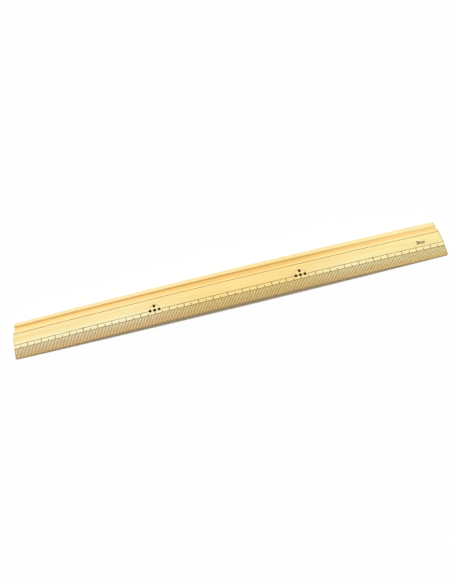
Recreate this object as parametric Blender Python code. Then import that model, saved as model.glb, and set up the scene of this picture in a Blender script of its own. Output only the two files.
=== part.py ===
"""A thirty centimetre bamboo sewing ruler, worked from one strip of bamboo.

The blank is a section swept along the length: flat below, a low crown above, and a flat that falls
to a thin scale edge. A round guide groove, three scribed lines, the millimetre scale and the centimetre
dots are cut into it while it is straight. The finished strip is then bent up in a slight arch, so that
it rests on its two ends. X runs along the scale from the zero end, and Y from the scale edge to the
back. The origin is at the middle of the footprint.
"""

import bisect
import math

import bmesh
import bpy
from mathutils import Matrix, Vector

# Blank
LENGTH = 0.300
WIDTH = 0.025
THICKNESS = 0.00315
FRONT_EDGE = 0.00090
SHOULDER_DROP = 0.00070
BACK_DROP = 0.00070
CROWN_FROM_BACK = 0.0080
CROWN_STEPS = 12
BACK_ROUND = 0.00060
ROUND_STEPS = 3
ARRIS = 0.00015
END_ARRIS = 0.00018
CORNER_ROUND = 0.0008
CORNER_STEPS = 2
BOW = 0.0034
SEGMENT = 0.015

# Guide groove
GROOVE_FROM_BACK = 0.0046
GROOVE_WIDTH = 0.0036
GROOVE_DEPTH = 0.00075
GROOVE_STEPS = 8

# Scribed lines, each at its distance from the scale edge or from the back
BASE_LINE = 0.00665
SHOULDER_LINE = 0.00920
BACK_LINE_FROM_BACK = 0.00805
LINE_WIDTH = 0.00028
LINE_DEPTH = 0.00014

# Scale
MILLIMETRE = 0.001
TICKS_TO_MIDDLE = 5
TICKS_TO_LONG = 10
MIDDLE_REACH = 0.00810
TICK_WIDTH = 0.00038
TICK_DEPTH = 0.00011

# Dots on and above the shoulder line
DOT_PLACES = (0.050, 0.150, 0.250)
CLUSTER_PLACES = (0.100, 0.200)
DOT_DIAMETER = 0.0009
CLUSTER_DIAMETER = 0.0020
CLUSTER_PITCH = 0.0031
CLUSTER_RISE = 0.0028
DOT_DEPTH = 0.00012
DOT_SIDES = 16

# How far a cutter stands past the blank
CLEAR = 0.0010

# Colours, and the slots that hold them
BAMBOO_COLOUR = (0.86, 0.68, 0.33, 1.0)
INK_COLOUR = (0.045, 0.032, 0.014, 1.0)
BAMBOO = 0
INK = 1


def clear_scene():
    """Remove whatever the scene holds."""
    for obj in list(bpy.data.objects):
        bpy.data.objects.remove(obj, do_unlink=True)


def plain_material(name, colour, roughness):
    """A plain finish."""
    material = bpy.data.materials.new(name)
    material.use_nodes = True
    shader = material.node_tree.nodes["Principled BSDF"]
    shader.inputs["Base Color"].default_value = colour
    shader.inputs["Roughness"].default_value = roughness
    shader.inputs["Metallic"].default_value = 0.0
    return material


def scale_height(y):
    """Height of the falling flat that carries the scale, y being the distance from the scale edge."""
    shoulder = THICKNESS - SHOULDER_DROP
    return FRONT_EDGE + (shoulder - FRONT_EDGE) * y / SHOULDER_LINE


def crown_height(y):
    """Height of the crown, which falls away in a curve to the shoulder and to the back."""
    crown = WIDTH - CROWN_FROM_BACK
    if y < crown:
        return THICKNESS - SHOULDER_DROP * ((crown - y) / (crown - SHOULDER_LINE)) ** 2
    return THICKNESS - BACK_DROP * ((y - crown) / CROWN_FROM_BACK) ** 2


def top_height(y):
    """Height of the upper face."""
    return scale_height(y) if y < SHOULDER_LINE else crown_height(y)


def surface_frame(y):
    """The point of the upper face at y, with its direction across the strip and its outward normal."""
    step = CLEAR / 10
    rise = (top_height(y + step) - top_height(y - step)) / (2 * step)
    across = Vector((0.0, 1.0, rise)).normalized()
    return Vector((0.0, y, top_height(y))), across, Vector((0.0, -across.z, across.y))


def limited(easing):
    """An easing, kept small enough for the thin scale edge to carry two of each."""
    return min(easing, FRONT_EDGE / 5)


def blank_section(inset, corner):
    """Outline across the strip as (y, z) points, drawn in by inset all round and by corner at both sides."""
    arris = limited(ARRIS)
    front = inset + corner
    back = WIDTH - inset - corner
    points = [(front + arris, inset), (back - arris, inset), (back, inset + arris)]
    round_y = back - BACK_ROUND
    round_z = crown_height(round_y) - inset - BACK_ROUND
    for step in range(ROUND_STEPS + 1):
        turn = math.pi / 2 * step / ROUND_STEPS
        points.append((round_y + BACK_ROUND * math.cos(turn), round_z + BACK_ROUND * math.sin(turn)))
    for step in range(1, CROWN_STEPS + 1):
        y = round_y + (SHOULDER_LINE - round_y) * step / CROWN_STEPS
        points.append((y, crown_height(y) - inset))
    points.append((front + arris, scale_height(front + arris) - inset))
    points.append((front, scale_height(front) - inset - arris))
    points.append((front, inset + arris))
    return points


def inner_stations():
    """Places along the strip where it bends, midway between marks of the scale."""
    count = math.ceil((LENGTH - SEGMENT / 2 - END_ARRIS) / SEGMENT)
    return [SEGMENT / 2 + SEGMENT * index - LENGTH / 2 for index in range(count)]


def end_steps():
    """Distances from an end where its easing stops and along the round of its corners."""
    easing = limited(END_ARRIS)
    run = CORNER_ROUND - easing
    return [0.0, easing] + [easing + run * step / CORNER_STEPS for step in range(1, CORNER_STEPS + 1)]


def corner_inset(distance):
    """How far the rounded corners are drawn in at a distance from the end."""
    rest = max(CORNER_ROUND - distance, 0.0)
    return CORNER_ROUND - math.sqrt(CORNER_ROUND**2 - rest**2)


def strip_stations():
    """The inner stations, with the steps of each end."""
    half = LENGTH / 2
    steps = end_steps()
    return [step - half for step in steps] + inner_stations() + [half - step for step in reversed(steps)]


def swept_mesh(sections):
    """A closed mesh through (x, outline) sections, which all have the same number of points."""
    mesh = bmesh.new()
    rings = [[mesh.verts.new((x, y - WIDTH / 2, z)) for y, z in outline] for x, outline in sections]
    for near, far in zip(rings, rings[1:]):
        for index in range(len(near)):
            after = (index + 1) % len(near)
            mesh.faces.new((near[index], near[after], far[after], far[index]))
    mesh.faces.new(rings[0])
    mesh.faces.new(rings[-1])
    bmesh.ops.recalc_face_normals(mesh, faces=mesh.faces)
    return mesh


def new_object(name, mesh, materials, slot):
    """Turn an editable mesh into an object whose faces all use one slot."""
    for face in mesh.faces:
        face.material_index = slot
    data = bpy.data.meshes.new(name)
    mesh.to_mesh(data)
    mesh.free()
    for material in materials:
        data.materials.append(material)
    obj = bpy.data.objects.new(name, data)
    bpy.context.scene.collection.objects.link(obj)
    return obj


def blank(materials):
    """The straight strip, with its ends eased and its corners rounded."""
    sections = []
    for x in strip_stations():
        distance = LENGTH / 2 - abs(x)
        inset = limited(END_ARRIS) if distance == 0.0 else 0.0
        sections.append((x, blank_section(inset, corner_inset(distance))))
    return new_object("bamboo_ruler", swept_mesh(sections), materials, BAMBOO)


def cutter_sections(outline):
    """A cutter's outline at each station, and past both ends."""
    reach = LENGTH / 2 + CLEAR
    return [(x, outline) for x in [-reach] + inner_stations() + [reach]]


def groove_cutter(materials):
    """The round bar that leaves the guide groove."""
    centre = WIDTH - GROOVE_FROM_BACK
    radius = (GROOVE_WIDTH**2 / 4 + GROOVE_DEPTH**2) / (2 * GROOVE_DEPTH)
    axis_z = top_height(centre) - GROOVE_DEPTH + radius
    widest = math.acos(1 - (GROOVE_DEPTH + CLEAR) / radius)
    outline = []
    for step in range(2 * GROOVE_STEPS + 1):
        turn = widest * (step / GROOVE_STEPS - 1)
        outline.append((centre + radius * math.sin(turn), axis_z - radius * math.cos(turn)))
    return new_object("groove_cutter", swept_mesh(cutter_sections(outline)), materials, BAMBOO)


def line_cutter(name, y, materials):
    """A wedge that scribes one line along the strip."""
    point, across, normal = surface_frame(y)
    wedge = [
        point - normal * LINE_DEPTH,
        point + normal * LINE_DEPTH + across * LINE_WIDTH,
        point + normal * LINE_DEPTH - across * LINE_WIDTH,
    ]
    outline = [(corner.y, corner.z) for corner in wedge]
    return new_object(name, swept_mesh(cutter_sections(outline)), materials, INK)


def add_tick(mesh, x, far_y):
    """Add the wedge of one mark, from the scale edge to far_y."""
    rings = []
    for y in (-CLEAR, far_y):
        floor = Vector((x, y - WIDTH / 2, scale_height(y)))
        rise = Vector((0.0, 0.0, TICK_DEPTH))
        side = Vector((TICK_WIDTH, 0.0, 0.0))
        corners = (floor - rise, floor + rise + side, floor + rise - side)
        rings.append([mesh.verts.new(corner) for corner in corners])
    near, far = rings
    for index in range(3):
        after = (index + 1) % 3
        mesh.faces.new((near[index], near[after], far[after], far[index]))
    mesh.faces.new(near)
    mesh.faces.new(far)


def tick_cutter(materials):
    """Wedges for the whole scale: short, middle and long marks."""
    mesh = bmesh.new()
    for count in range(1, round(LENGTH / MILLIMETRE)):
        far_y = BASE_LINE
        if count % TICKS_TO_MIDDLE == 0:
            far_y = MIDDLE_REACH
        if count % TICKS_TO_LONG == 0:
            far_y = SHOULDER_LINE
        add_tick(mesh, count * MILLIMETRE - LENGTH / 2, far_y)
    bmesh.ops.recalc_face_normals(mesh, faces=mesh.faces)
    return new_object("tick_cutter", mesh, materials, INK)


def add_dot(mesh, place, y, diameter):
    """Add the drill that leaves one dot, standing square to the upper face."""
    point, across, normal = surface_frame(y)
    middle = Vector((place - LENGTH / 2, point.y - WIDTH / 2, point.z))
    turn = Matrix((Vector((1.0, 0.0, 0.0)), across, normal)).transposed().to_4x4()
    lift = (CLEAR - DOT_DEPTH) / 2
    bmesh.ops.create_cone(
        mesh,
        cap_ends=True,
        segments=DOT_SIDES,
        radius1=diameter / 2,
        radius2=diameter / 2,
        depth=CLEAR + DOT_DEPTH,
        matrix=Matrix.Translation(middle + normal * lift) @ turn,
    )


def dot_cutter(materials):
    """Drills for the single dots and for the two clusters."""
    mesh = bmesh.new()
    for place in DOT_PLACES:
        add_dot(mesh, place, SHOULDER_LINE, DOT_DIAMETER)
    for place in CLUSTER_PLACES:
        for offset in (-CLUSTER_PITCH, 0.0, CLUSTER_PITCH):
            add_dot(mesh, place + offset, SHOULDER_LINE, CLUSTER_DIAMETER)
        add_dot(mesh, place, SHOULDER_LINE + CLUSTER_RISE, CLUSTER_DIAMETER)
    bmesh.ops.recalc_face_normals(mesh, faces=mesh.faces)
    return new_object("dot_cutter", mesh, materials, INK)


def cut(body, cutters):
    """Take every cutter out of the body, and drop the cutters."""
    for cutter in cutters:
        cutter.hide_render = True
        cutter.display_type = "WIRE"
        modifier = body.modifiers.new(cutter.name, "BOOLEAN")
        modifier.operation = "DIFFERENCE"
        modifier.solver = "EXACT"
        modifier.object = cutter
    graph = bpy.context.evaluated_depsgraph_get()
    result = bpy.data.meshes.new_from_object(body.evaluated_get(graph))
    body.modifiers.clear()
    body.data = result
    for cutter in cutters:
        bpy.data.objects.remove(cutter, do_unlink=True)


def arched(x, z, radius):
    """Where a point of the straight strip goes when its underside follows a circle."""
    turn = x / radius
    return Vector(((radius + z) * math.sin(turn), (radius + z) * math.cos(turn) - radius))


def arch(body):
    """Bend the strip up in its middle, flat between stations, and stand it on its ends."""
    radius = LENGTH**2 / (8 * BOW)
    stations = strip_stations()
    mesh = bmesh.new()
    mesh.from_mesh(body.data)
    for vert in mesh.verts:
        x, y, z = vert.co
        after = min(max(bisect.bisect_left(stations, x), 1), len(stations) - 1)
        near, far = stations[after - 1], stations[after]
        place = arched(near, z, radius).lerp(arched(far, z, radius), (x - near) / (far - near))
        vert.co = (place.x, y, place.y)
    lowest = min(vert.co.z for vert in mesh.verts)
    bmesh.ops.translate(mesh, verts=mesh.verts, vec=(0.0, 0.0, -lowest))
    mesh.to_mesh(body.data)
    mesh.free()


def main():
    """Make the ruler."""
    clear_scene()
    materials = [
        plain_material("bamboo", BAMBOO_COLOUR, 0.45),
        plain_material("scale_ink", INK_COLOUR, 0.6),
    ]
    ruler = blank(materials)
    cutters = [
        groove_cutter(materials),
        line_cutter("base_line_cutter", BASE_LINE, materials),
        line_cutter("shoulder_line_cutter", SHOULDER_LINE, materials),
        line_cutter("back_line_cutter", WIDTH - BACK_LINE_FROM_BACK, materials),
        tick_cutter(materials),
        dot_cutter(materials),
    ]
    cut(ruler, cutters)
    arch(ruler)
    ruler.data.shade_smooth()
    ruler.data.set_sharp_from_angle(angle=math.radians(20.0))


main()
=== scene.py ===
"""Looks of the thirty centimetre bamboo sewing ruler: its bamboo, ink and figures, a studio and a camera.

Every piece is drawn on the straight strip first, in metres: x along the scale from the middle of the
strip, y across it from the scale edge, and z up from the underside. It is then moved to the middle of
the footprint and bent up with the arch of the real strip.
"""

from __future__ import annotations

import logging
import math
from collections.abc import Iterable
from dataclasses import dataclass
from enum import Enum

import bmesh
import bpy
import numpy as np
from mathutils import Matrix, Vector

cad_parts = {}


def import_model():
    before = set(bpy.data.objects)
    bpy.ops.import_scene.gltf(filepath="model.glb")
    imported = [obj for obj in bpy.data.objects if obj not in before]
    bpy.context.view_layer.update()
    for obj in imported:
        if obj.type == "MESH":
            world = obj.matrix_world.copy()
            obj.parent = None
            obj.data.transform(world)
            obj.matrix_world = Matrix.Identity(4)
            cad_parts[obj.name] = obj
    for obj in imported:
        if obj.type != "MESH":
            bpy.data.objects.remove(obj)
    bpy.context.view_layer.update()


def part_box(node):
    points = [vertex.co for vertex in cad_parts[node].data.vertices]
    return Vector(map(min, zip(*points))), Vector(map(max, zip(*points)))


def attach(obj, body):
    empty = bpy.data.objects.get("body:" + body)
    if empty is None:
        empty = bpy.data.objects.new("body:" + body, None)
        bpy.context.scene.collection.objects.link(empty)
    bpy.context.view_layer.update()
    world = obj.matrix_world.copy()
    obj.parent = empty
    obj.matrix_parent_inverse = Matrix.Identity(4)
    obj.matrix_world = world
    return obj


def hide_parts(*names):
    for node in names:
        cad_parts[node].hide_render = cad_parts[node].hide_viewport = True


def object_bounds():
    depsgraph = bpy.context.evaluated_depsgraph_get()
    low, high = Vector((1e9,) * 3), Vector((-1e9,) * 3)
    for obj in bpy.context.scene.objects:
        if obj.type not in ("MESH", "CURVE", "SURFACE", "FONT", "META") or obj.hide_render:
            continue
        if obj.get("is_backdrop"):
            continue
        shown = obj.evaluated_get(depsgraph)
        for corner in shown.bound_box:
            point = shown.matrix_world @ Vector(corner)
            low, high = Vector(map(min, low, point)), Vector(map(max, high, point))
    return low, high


LOG = logging.getLogger("sewing_ruler")

MM = 0.001
SCALE_LENGTH = 300 * MM
IMAGE_HEIGHT = 584
SENSOR_MM = 36.0
NODE = "bamboo_ruler"
BODY = "root"
SEEING_RAYS = ("Camera", "Glossy", "Transmission")
WHITE = (1.0, 1.0, 1.0)
BLACK = (0.0, 0.0, 0.0)

Point = tuple[float, float]
Span = tuple[float, float]
Triple = tuple[float, float, float]
Fade = Triple
Colour = Triple
Run = tuple[Colour, Colour, Colour]


def rgba(colour: Colour) -> tuple[float, float, float, float]:
    """A colour with full alpha."""
    return (*colour, 1.0)


def placed(name: str, data: bpy.types.ID) -> bpy.types.Object:
    """Put new object data into the scene.

    Args:
        name: The object's name.
        data: Its mesh, curve, lamp or camera.

    Returns:
        The object, at the origin.
    """
    obj = bpy.data.objects.new(name, data)
    bpy.context.scene.collection.objects.link(obj)
    return obj


def evaluated(obj: bpy.types.Object) -> bpy.types.Mesh:
    """The plain mesh that an object gives after its modifiers."""
    graph = bpy.context.evaluated_depsgraph_get()
    return bpy.data.meshes.new_from_object(obj.evaluated_get(graph))


@dataclass(frozen=True)
class Pattern:
    """A noise pattern: how often it repeats in a metre along, across and up, its detail and its roughness."""

    often: Triple
    detail: float
    roughness: float = 0.5

    @classmethod
    def even(cls, size: float, detail: float) -> Pattern:
        """A pattern of one size every way."""
        return cls((1.0 / size,) * 3, detail)


class Wire:
    """An output socket that takes part in Python arithmetic: each operator adds one Math node."""

    def __init__(self, tree: Tree, socket: bpy.types.NodeSocket) -> None:
        """Wrap a socket.

        Args:
            tree: The tree that the socket's node is in.
            socket: The output socket.
        """
        self.tree = tree
        self.socket = socket

    def __add__(self, other: Wire | float) -> Wire:
        """Sum."""
        return self.tree.math("ADD", self, other)

    def __radd__(self, other: float) -> Wire:
        """Sum with a number on the left."""
        return self.tree.math("ADD", other, self)

    def __sub__(self, other: Wire | float) -> Wire:
        """Difference."""
        return self.tree.math("SUBTRACT", self, other)

    def __rsub__(self, other: float) -> Wire:
        """Difference from a number on the left."""
        return self.tree.math("SUBTRACT", other, self)

    def __mul__(self, other: Wire | float) -> Wire:
        """Product."""
        return self.tree.math("MULTIPLY", self, other)

    def __rmul__(self, other: float) -> Wire:
        """Product with a number on the left."""
        return self.tree.math("MULTIPLY", other, self)

    def __truediv__(self, other: Wire | float) -> Wire:
        """Quotient."""
        return self.tree.math("DIVIDE", self, other)

    def __neg__(self) -> Wire:
        """The same size with the other sign."""
        return self.tree.math("MULTIPLY", self, -1.0)

    def __abs__(self) -> Wire:
        """Size without sign."""
        return self.tree.math("ABSOLUTE", self)

    def __lt__(self, other: Wire | float) -> Wire:
        """1 where it is less, and 0 elsewhere."""
        return self.tree.math("LESS_THAN", self, other)

    def __gt__(self, other: Wire | float) -> Wire:
        """1 where it is more, and 0 elsewhere."""
        return self.tree.math("GREATER_THAN", self, other)


Term = Wire | float | int | tuple | bpy.types.Material
Sockets = dict[str | int, Term]
Setting = str | bool | int | float
Sizes = dict[str, float | int | bpy.types.Material]


class Tree:
    """Adds nodes to one shader or geometry tree."""

    def __init__(self, nodes: bpy.types.NodeTree) -> None:
        """Keep the tree.

        Args:
            nodes: The tree that the nodes are added to.
        """
        self.nodes = nodes

    def node(self, kind: str, inputs: Sockets | None = None, output: int = 0, **settings: Setting) -> Wire:
        """Add one node.

        Args:
            kind: The node's type name.
            inputs: Values or wires by socket name or number.
            output: Which output the wire returns.
            **settings: Attributes of the node, set before its sockets.

        Returns:
            The chosen output.
        """
        made = self.nodes.nodes.new(kind)
        for name, value in settings.items():
            setattr(made, name, value)
        for key, value in (inputs or {}).items():
            if isinstance(value, Wire):
                self.nodes.links.new(value.socket, made.inputs[key])
            else:
                made.inputs[key].default_value = value
        return Wire(self, made.outputs[output])

    def split(self, vector: Wire) -> tuple[Wire, Wire, Wire]:
        """The three parts of a vector."""
        outputs = self.node("ShaderNodeSeparateXYZ", {0: vector}).socket.node.outputs
        return tuple(Wire(self, outputs[axis]) for axis in range(3))

    def vector(self, x: Term = 0.0, y: Term = 0.0, z: Term = 0.0) -> Wire:
        """A vector from three values."""
        return self.node("ShaderNodeCombineXYZ", {0: x, 1: y, 2: z})

    def math(self, operation: str, *values: Term) -> Wire:
        """A Math node on one, two or three values."""
        return self.node("ShaderNodeMath", dict(enumerate(values)), operation=operation)

    def stretched(self, vector: Wire, factors: Triple) -> Wire:
        """A vector with each axis scaled by its own factor."""
        return self.node("ShaderNodeVectorMath", {0: vector, 1: factors}, operation="MULTIPLY")

    def step(self, value: Wire, start: float, full: float, share: float = 1.0) -> Wire:
        """A smooth step from 0 at start to a share at full, which may be the smaller of the two."""
        inputs = {"Value": value, "From Min": start, "From Max": full, "To Max": share}
        return self.node("ShaderNodeMapRange", inputs, interpolation_type="SMOOTHSTEP")

    def noise(self, vector: Wire, pattern: Pattern) -> Wire:
        """Noise around one half, in a pattern laid through a vector's space."""
        inputs = {"Vector": self.stretched(vector, pattern.often), "Scale": 1.0}
        inputs |= {"Detail": pattern.detail, "Roughness": pattern.roughness}
        return self.node("ShaderNodeTexNoise", inputs)

    def mix(self, factor: Term, first: Term, second: Term) -> Wire:
        """Mix two colours.

        Args:
            factor: How much of the second shows.
            first: A colour or a wire.
            second: A colour or a wire.

        Returns:
            The mixed colour.
        """
        inputs = {0: factor}
        for socket, value in ((6, first), (7, second)):
            inputs[socket] = rgba(value) if isinstance(value, tuple) else value
        return self.node("ShaderNodeMix", inputs, output=2, data_type="RGBA")

    def seen(self) -> Wire:
        """Tell what is looked at from what only lights.

        Returns:
            1 for what the camera sees straight on, in a gloss or through glass, and 0 for other light.
        """
        path = self.node("ShaderNodeLightPath").socket.node.outputs
        camera, gloss, glass = (Wire(self, path[f"Is {ray} Ray"]) for ray in SEEING_RAYS)
        return self.math("MINIMUM", camera + gloss + glass, 1.0)


class Paint(Tree):
    """The tree of one material around its Principled shader."""

    def __init__(self, name: str, roughness: float, specular: float) -> None:
        """Start the material.

        Args:
            name: The material's name.
            roughness: How matt it is where nothing varies it.
            specular: Its specular level.
        """
        self.material = bpy.data.materials.new(name)
        self.material.use_nodes = True
        super().__init__(self.material.node_tree)
        self.shader = self.nodes.nodes["Principled BSDF"]
        self.shader.inputs["Roughness"].default_value = roughness
        self.shader.inputs["Specular IOR Level"].default_value = specular

    def place(self) -> Wire:
        """Object coordinates."""
        return self.node("ShaderNodeTexCoord", output=3)

    def facing(self) -> Wire:
        """The way the surface faces, in the object's own axes."""
        return self.node("ShaderNodeTexCoord", output=1)

    def feed(self, **wires: Wire) -> bpy.types.Material:
        """Link wires to the shader.

        Args:
            **wires: The wires by the names of the shader's sockets, with _ for a space.

        Returns:
            The material.
        """
        for name, wire in wires.items():
            self.nodes.links.new(wire.socket, self.shader.inputs[name.replace("_", " ")])
        return self.material


@dataclass(frozen=True)
class Cut:
    """A wedge cut into the upper face: how wide it is at the surface and how deep."""

    width: float
    depth: float

    def filled(self, recess: float) -> Cut:
        """The ink that fills the cut up to a recess below the surface."""
        share = 1.0 - recess / self.depth
        return Cut(self.width * share, self.depth * share)


@dataclass(frozen=True)
class Strip:
    """The straight strip of bamboo, and the arch that it is bent to."""

    length: float
    width: float
    bow: float
    thickness: float = 3.15 * MM
    edge: float = 0.90 * MM
    shoulder_drop: float = 0.70 * MM
    back_drop: float = 0.70 * MM
    shoulder: float = 9.20 * MM
    base: float = 6.65 * MM
    crown_from_back: float = 8.0 * MM
    back_line_from_back: float = 8.05 * MM
    groove_from_back: float = 4.6 * MM
    groove_width: float = 3.6 * MM
    groove_depth: float = 0.75 * MM
    arris: float = 0.15 * MM
    back_round: float = 0.60 * MM
    end_round: float = 0.18 * MM
    corner_round: float = 0.80 * MM
    line: Cut = Cut(0.28 * MM, 0.14 * MM)

    @classmethod
    def from_frame(cls, low: Vector, high: Vector, length: float) -> Strip:
        """Read the strip's width and arch off the CAD box.

        Args:
            low: The box's lowest corner.
            high: Its highest corner.
            length: The length of the scale.

        Returns:
            The strip.
        """
        return cls(length=length, width=high.y - low.y, bow=high.z - low.z - cls.thickness)

    @property
    def arch_radius(self) -> float:
        """Radius that the underside is bent to."""
        return self.length**2 / (8 * self.bow)

    @property
    def crown(self) -> float:
        """Place across the strip of its highest point."""
        return self.width - self.crown_from_back

    @property
    def back_line(self) -> float:
        """Place across the strip of the line beside the groove."""
        return self.width - self.back_line_from_back

    @property
    def groove(self) -> float:
        """Place across the strip of the middle of the groove."""
        return self.width - self.groove_from_back

    @property
    def rise(self) -> float:
        """Rise of the flat that carries the scale, for each unit across."""
        return (self.thickness - self.shoulder_drop - self.edge) / self.shoulder

    def top_height(self, y: float) -> float:
        """Find the uncut upper face.

        Args:
            y: A place across the strip.

        Returns:
            The face's height there.
        """
        if y < self.shoulder:
            return self.edge + self.rise * y
        if y < self.crown:
            share = (self.crown - y) / (self.crown - self.shoulder)
            return self.thickness - self.shoulder_drop * share**2
        return self.thickness - self.back_drop * ((y - self.crown) / self.crown_from_back) ** 2

    def tilt(self, y: float) -> float:
        """Angle of the upper face across the strip, in radians."""
        step = self.arris
        return math.atan((self.top_height(y + step) - self.top_height(y - step)) / (2 * step))

    def bent(self, points: np.ndarray) -> np.ndarray:
        """Bend points of the straight strip to its arch.

        Args:
            points: An array of x, y and z, one row a point.

        Returns:
            The bent points, in the row frame.
        """
        turn = points[:, 0] / self.arch_radius
        reach = points[:, 2] + self.arch_radius
        up = reach * np.cos(turn) - self.arch_radius + self.bow
        return np.stack([reach * np.sin(turn), points[:, 1] - self.width / 2, up], axis=1)

    def arch_inputs(self) -> Sizes:
        """The arch as named inputs of a recipe."""
        return {"Arch Radius": self.arch_radius, "Arch Lift": self.bow, "Half Width": self.width / 2}


class Recipe(Tree):
    """A geometry tree with named inputs, which makes one plain mesh object that is bent with the strip."""

    def __init__(self, name: str, strip: Strip, finish: bpy.types.Material, sizes: Sizes) -> None:
        """Start the tree.

        Args:
            name: The name of the tree and of the piece.
            strip: The strip that the piece is bent with.
            finish: The piece's material.
            sizes: The piece's own inputs by name, with their values.
        """
        super().__init__(bpy.data.node_groups.new(name, "GeometryNodeTree"))
        self.name = name
        self.values: Sizes = {}
        kinds = {float: "NodeSocketFloat", int: "NodeSocketInt", bpy.types.Material: "NodeSocketMaterial"}
        sockets = self.nodes.interface
        sockets.new_socket("Start", in_out="INPUT", socket_type="NodeSocketGeometry")
        for label, value in {**sizes, "Finish": finish, **strip.arch_inputs()}.items():
            item = sockets.new_socket(label, in_out="INPUT", socket_type=kinds[type(value)])
            self.values[item.identifier] = value
        sockets.new_socket("Geometry", in_out="OUTPUT", socket_type="NodeSocketGeometry")
        self.inlet = self.nodes.nodes.new("NodeGroupInput")

    def size(self, label: str) -> Wire:
        """The wire of a named input."""
        return Wire(self, self.inlet.outputs[label])

    def place(self) -> tuple[Wire, Wire, Wire]:
        """The three coordinates of each point."""
        return self.split(self.node("GeometryNodeInputPosition"))

    def moved(self, geometry: Wire, x: Term, y: Term, z: Term) -> Wire:
        """Geometry with its points at new places."""
        position = self.vector(x, y, z)
        return self.node("GeometryNodeSetPosition", {"Geometry": geometry, "Position": position})

    def turned(self, geometry: Wire, **placing: Term) -> Wire:
        """Geometry with the Translation, Rotation and Scale that placing gives."""
        return self.node("GeometryNodeTransform", {"Geometry": geometry, **placing})

    def row(self, count: Term, start: Wire, offset: Term = 0.0) -> Wire:
        """Points in a row along x."""
        inputs = {"Count": count, "Start Location": start, "Offset": self.vector(offset)}
        return self.node("GeometryNodeMeshLine", inputs, mode="OFFSET")

    def copies(self, points: Wire, shape: Wire, **placing: Term) -> Wire:
        """A real copy of a shape at each point, with the Rotation and Scale that placing gives."""
        inputs = {"Points": points, "Instance": shape, **placing}
        return self.realised(self.node("GeometryNodeInstanceOnPoints", inputs))

    def realised(self, geometry: Wire) -> Wire:
        """Geometry with its instances made real."""
        return self.node("GeometryNodeRealizeInstances", {"Geometry": geometry})

    def swept(self, path: Wire, profile: Wire) -> Wire:
        """A closed solid, from a profile drawn along a path."""
        inputs = {"Curve": path, "Profile Curve": profile, "Fill Caps": True}
        return self.node("GeometryNodeCurveToMesh", inputs)

    def joined(self, parts: Iterable[Wire]) -> Wire:
        """Join several geometries.

        Args:
            parts: The geometries.

        Returns:
            All of them as one.
        """
        join = self.nodes.nodes.new("GeometryNodeJoinGeometry")
        for part in parts:
            self.nodes.links.new(part.socket, join.inputs[0])
        return Wire(self, join.outputs[0])

    def merged(self, geometry: Wire) -> Wire:
        """Geometry with its points merged that lie nearer to each other than the input Merge."""
        inputs = {"Geometry": geometry, "Distance": self.size("Merge")}
        return self.node("GeometryNodeMergeByDistance", inputs)

    def bent(self, geometry: Wire) -> Wire:
        """Bend geometry of the straight strip by the inputs Arch Radius, Arch Lift and Half Width.

        Args:
            geometry: The straight geometry.

        Returns:
            The bent geometry, in the row frame.
        """
        x, y, z = self.place()
        radius = self.size("Arch Radius")
        turn = x / radius
        reach = z + radius
        up = reach * self.math("COSINE", turn) - radius + self.size("Arch Lift")
        return self.moved(geometry, reach * self.math("SINE", turn), y - self.size("Half Width"), up)

    def finish(
        self, geometry: Wire, start: bpy.types.Mesh | None = None, sharp: float = 30.0
    ) -> bpy.types.Object:
        """Close the tree and turn what it makes into a plain mesh.

        Args:
            geometry: What the tree gives out, straight.
            start: The mesh that the tree starts from, where it has one.
            sharp: The angle in degrees from which an edge is left sharp.

        Returns:
            The finished object, with no modifier left on it.
        """
        solid = self.bent(self.realised(geometry))
        solid = self.node("GeometryNodeSetMaterial", {"Geometry": solid, "Material": self.size("Finish")})
        outlet = self.nodes.nodes.new("NodeGroupOutput")
        self.nodes.links.new(solid.socket, outlet.inputs[0])
        piece = placed(self.name, start or bpy.data.meshes.new(self.name))
        modifier = piece.modifiers.new(self.name, "NODES")
        modifier.node_group = self.nodes
        for identifier, value in self.values.items():
            modifier[identifier] = value
        mesh = evaluated(piece)
        piece.modifiers.clear()
        piece.data = mesh
        mesh.shade_smooth()
        mesh.set_sharp_from_angle(angle=math.radians(sharp))
        return piece


class Mark(Enum):
    """The three kinds of mark on the scale, by the name of their reach."""

    SHORT = "Short Reach"
    MIDDLE = "Middle Reach"
    LONG = "Long Reach"


@dataclass(frozen=True)
class Scale:
    """The marks of the scale."""

    strip: Strip
    pitch: float = 1.0 * MM
    to_middle: int = 5
    to_long: int = 10
    middle_reach: float = 8.10 * MM
    tick: Cut = Cut(0.38 * MM, 0.11 * MM)
    recess: float = 0.012 * MM

    @property
    def count(self) -> int:
        """The number of marks."""
        return round(self.strip.length / self.pitch) - 1

    def inputs(self) -> Sizes:
        """Name the scale's sizes for a recipe.

        Returns:
            The inputs.
        """
        strip = self.strip
        reaches = {Mark.SHORT: strip.base, Mark.MIDDLE: self.middle_reach, Mark.LONG: strip.shoulder}
        return {
            "Marks": self.count,
            "Pitch": self.pitch,
            "Half Length": strip.length / 2,
            "Edge Height": strip.edge,
            "Rise": strip.rise,
            "Middle Every": self.to_middle,
            "Long Every": self.to_long,
            **{mark.value: reach for mark, reach in reaches.items()},
        }

    @staticmethod
    def reach(recipe: Recipe, number: Wire) -> Wire:
        """Tell how far across the strip a mark runs.

        Args:
            recipe: The recipe that has the scale's inputs.
            number: The mark's number from the zero end.

        Returns:
            The place across the strip where it stops.
        """
        short, middle, full = (recipe.size(mark.value) for mark in Mark)
        cycles = (recipe.size(label) for label in ("Middle Every", "Long Every"))
        fifth, tenth = (recipe.math("MODULO", number, cycle) < 0.5 for cycle in cycles)
        return short + (middle - short) * fifth + (full - middle) * tenth


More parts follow.
